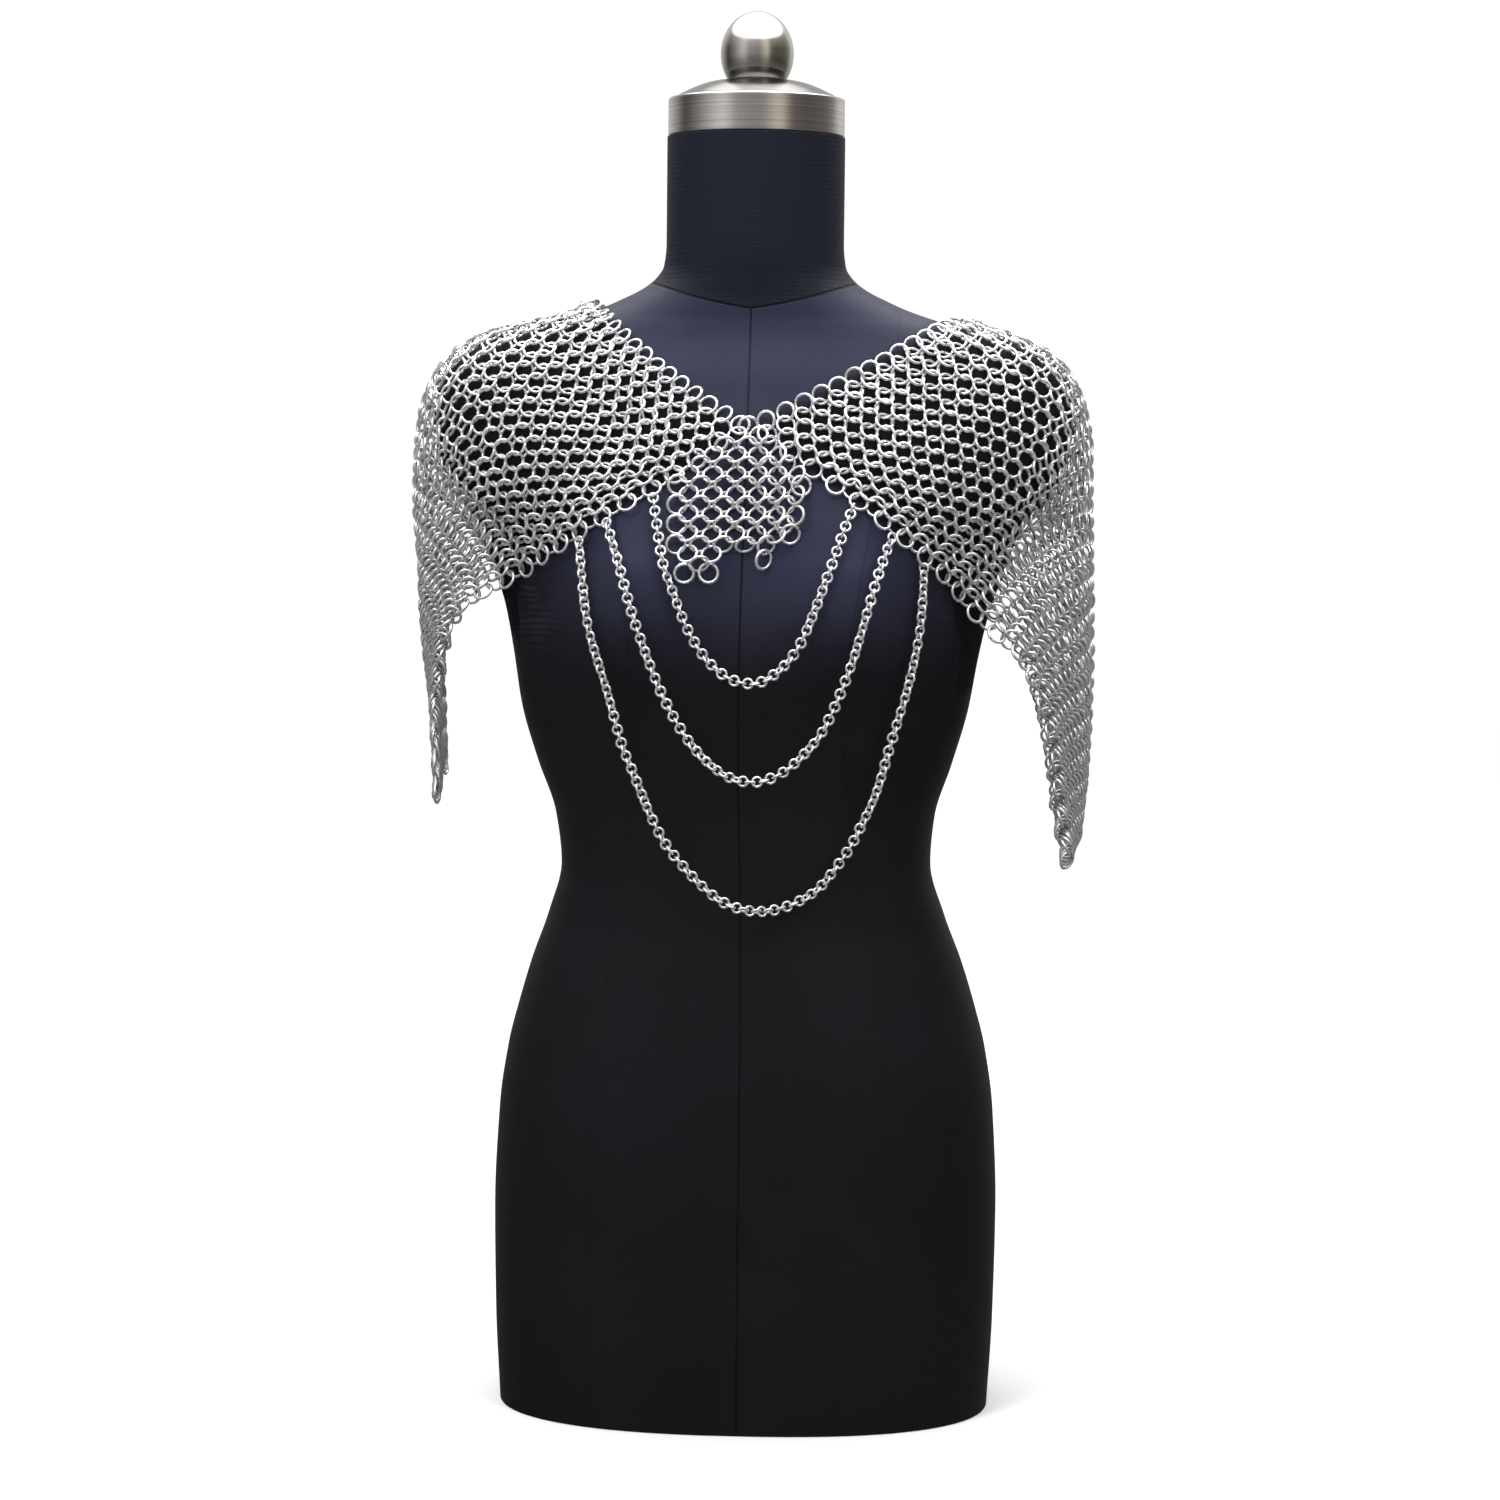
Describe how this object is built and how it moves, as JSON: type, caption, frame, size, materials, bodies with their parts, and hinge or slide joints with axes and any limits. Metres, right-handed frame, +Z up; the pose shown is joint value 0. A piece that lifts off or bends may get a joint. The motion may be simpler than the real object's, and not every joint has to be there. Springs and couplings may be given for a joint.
{
  "type": "chainmail shoulder cape on dress form",
  "caption": "Open shoulder cape of round metal rings with two hanging tails, a centre-front flap and three chain swags, on a dark limbless dress form with a steel cap and ball.",
  "frame": {"origin": "centre of the dress form's flat base", "axes": "+Z up to the ball on the neck, -Y towards the front of the cape, +X to the right as seen from the front"},
  "size_m": [0.4431, 0.2514, 0.8998],
  "materials": {
    "leather": "satin dark navy leatherette",
    "steel": "brushed",
    "polished_steel": "polished",
    "rings": "bright",
    "chain": "bright"
  },
  "bodies": {
    "root": {"form_body": "leather", "form_cap": "steel", "form_finial": "polished_steel", "mail_left": "rings", "mail_right": "rings", "mail_flap": "rings", "chain_inner": "chain", "chain_middle": "chain", "chain_outer": "chain"}
  },
  "joints": []
}
